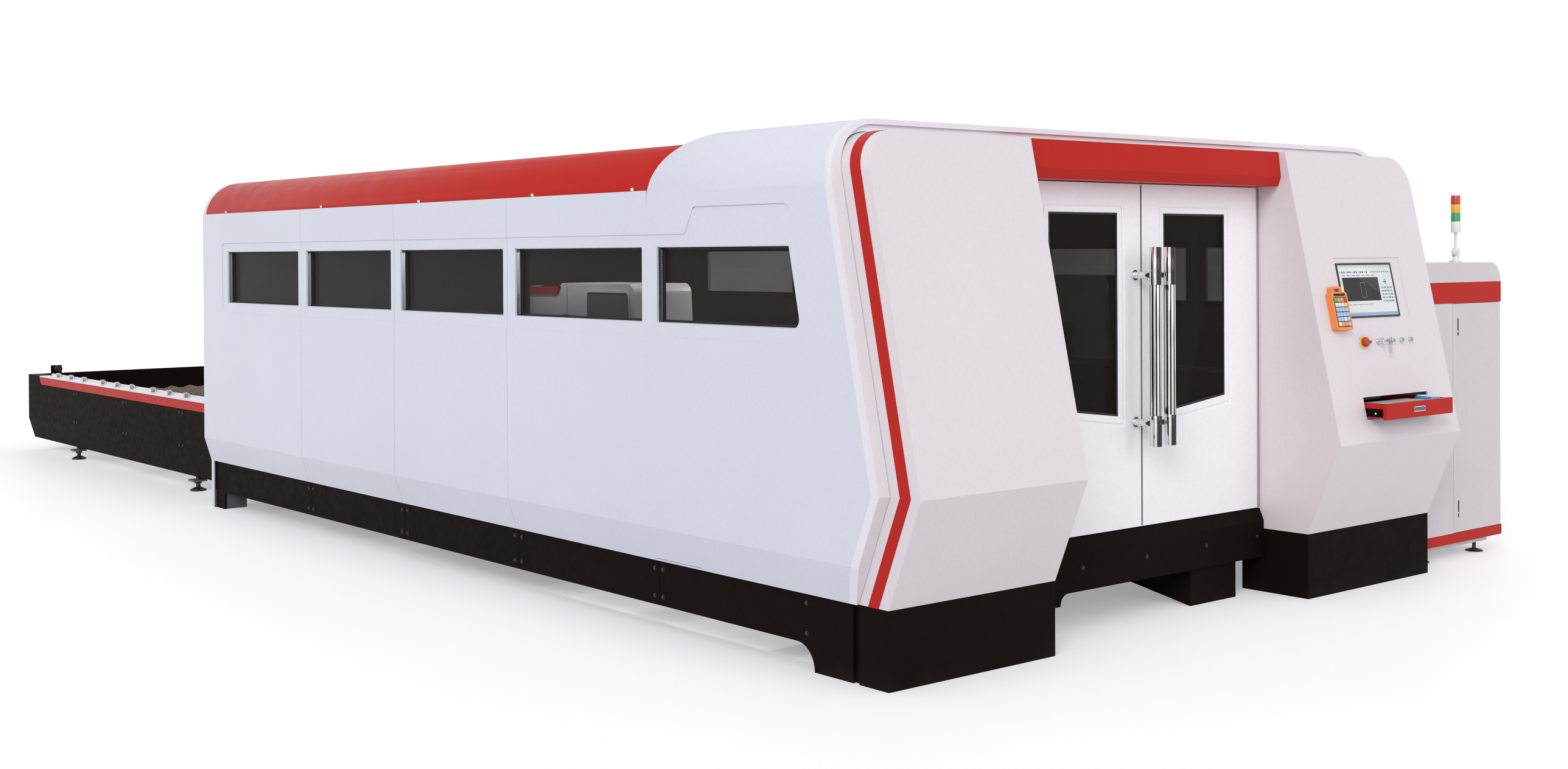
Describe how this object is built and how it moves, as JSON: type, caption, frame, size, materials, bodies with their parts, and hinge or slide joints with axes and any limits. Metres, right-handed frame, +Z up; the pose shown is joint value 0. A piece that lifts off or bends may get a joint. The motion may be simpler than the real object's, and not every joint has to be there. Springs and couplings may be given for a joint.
{
  "type": "laser cutting machine",
  "caption": "Enclosed flat-bed laser cutting machine with front doors, console pod, control cabinet and a two-level pallet changer",
  "frame": {"origin": "centre of the outer box on the floor", "axes": "+X to the operator's right (console and cabinet side), +Y from the doors towards the pallet changer, +Z up"},
  "size_m": [4.345, 10.24, 1.985],
  "materials": {
    "frame_grey": "satin dark grey paint",
    "rail_steel": "ground steel",
    "plinth_black": "fine-textured black-brown paint",
    "wall_white": "satin cool white paint",
    "pod_white": "satin white paint",
    "rim_white": "satin white paint",
    "red": "satin red paint",
    "smoked_glass": "smoked clear sheet",
    "door_glass": "smoked clear sheet",
    "handle_chrome": "polished tube",
    "bare_steel": "turned steel",
    "monitor_black": "fine matte",
    "screen": "glossy display",
    "ring_steel": "polished rings",
    "stop_red": "gloss red",
    "switch_black": "matte black",
    "button_green": "lit green lens",
    "pendant_orange": "moulded orange",
    "shelf_grey": "satin grey paint",
    "keys_black": "fine matte",
    "tower_white": "moulded white",
    "lens": "ribbed coloured lenses",
    "rail_light": "satin light paint",
    "pallet_steel": "worn dark steel",
    "slat_steel": "cut mild steel",
    "gantry_grey": "satin grey paint",
    "foot_steel": "zinc-plated",
    "aluminium": "anodised"
  },
  "bodies": {
    "housing": {"bed_frame": "frame_grey", "guide_rails": "rail_steel", "plinth_boxes": "plinth_black", "front_plinth": "plinth_black", "left_panels": "wall_white", "right_panels": "wall_white", "side_windows": "smoked_glass", "hood_sides": "wall_white", "hood_top": "wall_white", "portal_rim": "rim_white", "roof_covers": "red", "roof_deck": "wall_white", "rear_wall": "wall_white", "left_pod": "pod_white", "right_pod": "pod_white", "pod_stripes": "red", "lintel": "red", "door_pivots": "bare_steel", "monitor_frame": "monitor_black", "monitor_screen": "screen", "control_rings": "ring_steel", "pendant": "pendant_orange", "drawer_shelf": "shelf_grey", "cabinet_body": "pod_white", "cabinet_bands": "red", "cabinet_cap": "pod_white", "levelling_feet": "foot_steel", "signal_base": "tower_white", "changer_skirts": "plinth_black", "changer_frame": "frame_grey", "changer_rails": "rail_light", "changer_trim": "red", "pallet_rollers": "bare_steel"},
    "left_door": {"left_door": "pod_white", "left_door_pane": "door_glass", "left_door_handle": "handle_chrome"},
    "right_door": {"right_door": "pod_white", "right_door_pane": "door_glass", "right_door_handle": "handle_chrome"},
    "stop_button": {"emergency_stop": "stop_red"},
    "selector": {"selector_knob": "switch_black"},
    "key": {"key_switch": "bare_steel"},
    "button_1": {"push_button_1": "button_green"},
    "button_2": {"push_button_2": "button_green"},
    "button_3": {"push_button_3": "button_green"},
    "keyboard_drawer": {"drawer_tray": "shelf_grey", "drawer_front": "red", "keyboard": "keys_black", "mouse": "keys_black"},
    "cabinet_leaf": {"cabinet_door": "pod_white"},
    "tower_mast": {"signal_mast": "tower_white", "signal_lenses": "lens"},
    "top_pallet": {"upper_pallet": "pallet_steel", "upper_slats": "slat_steel"},
    "bottom_pallet": {"lower_pallet": "pallet_steel", "lower_slats": "slat_steel"},
    "gantry": {"gantry_beam": "gantry_grey", "gantry_covers": "rim_white"},
    "carriage": {"x_carriage": "aluminium"},
    "head": {"cutting_head": "aluminium"}
  },
  "joints": [
    {"name": "left_door_hinge", "type": "hinge", "parent": "housing", "child": "left_door", "pos_m": [-1.2485, -4.614, 1], "axis": [0, 0, 1], "range_deg": [-90, 0]},
    {"name": "right_door_hinge", "type": "hinge", "parent": "housing", "child": "right_door", "pos_m": [0.3275, -4.614, 1], "axis": [0, 0, 1], "range_deg": [0, 90]},
    {"name": "stop_press", "type": "slide", "parent": "housing", "child": "stop_button", "axis": [0, 0.9774, -0.2114], "range_m": [0, 0.006], "stiffness_N_per_m": 900},
    {"name": "selector_turn", "type": "hinge", "parent": "housing", "child": "selector", "pos_m": [0.7835, -4.94985, 1.098], "axis": [0, -0.9774, 0.2114], "range_deg": [-45, 45]},
    {"name": "key_turn", "type": "hinge", "parent": "housing", "child": "key", "pos_m": [0.8295, -4.94985, 1.098], "axis": [0, -0.9774, 0.2114], "range_deg": [0, 90]},
    {"name": "button_1_press", "type": "slide", "parent": "housing", "child": "button_1", "axis": [0, 0.9774, -0.2114], "range_m": [0, 0.004], "stiffness_N_per_m": 400},
    {"name": "button_2_press", "type": "slide", "parent": "housing", "child": "button_2", "axis": [0, 0.9774, -0.2114], "range_m": [0, 0.004], "stiffness_N_per_m": 400},
    {"name": "button_3_press", "type": "slide", "parent": "housing", "child": "button_3", "axis": [0, 0.9774, -0.2114], "range_m": [0, 0.004], "stiffness_N_per_m": 400},
    {"name": "drawer_slide", "type": "slide", "parent": "housing", "child": "keyboard_drawer", "axis": [0, -1, 0], "range_m": [-0.078, 0.19]},
    {"name": "cabinet_door_hinge", "type": "hinge", "parent": "housing", "child": "cabinet_leaf", "pos_m": [2.1605, -4.77, 0.68], "axis": [0, 0, 1], "range_deg": [0, 110]},
    {"name": "tower_fold", "type": "hinge", "parent": "housing", "child": "tower_mast", "pos_m": [2.0105, -4.63, 1.494], "axis": [0, 1, 0], "range_deg": [0, 90]},
    {"name": "top_pallet_travel", "type": "slide", "parent": "housing", "child": "top_pallet", "axis": [0, 1, 0], "range_m": [0, 4.515]},
    {"name": "bottom_pallet_travel", "type": "slide", "parent": "housing", "child": "bottom_pallet", "axis": [0, 1, 0], "range_m": [-4.515, 0]},
    {"name": "gantry_travel", "type": "slide", "parent": "housing", "child": "gantry", "axis": [0, 1, 0], "range_m": [-0.65, 3]},
    {"name": "carriage_travel", "type": "slide", "parent": "gantry", "child": "carriage", "axis": [1, 0, 0], "range_m": [-1.2, 1.2]},
    {"name": "head_lift", "type": "slide", "parent": "carriage", "child": "head", "axis": [0, 0, 1], "range_m": [-0.015, 0.15]}
  ],
  "couplings": [
    {"joint": "bottom_pallet_travel", "follows": "top_pallet_travel", "ratio": -1}
  ]
}
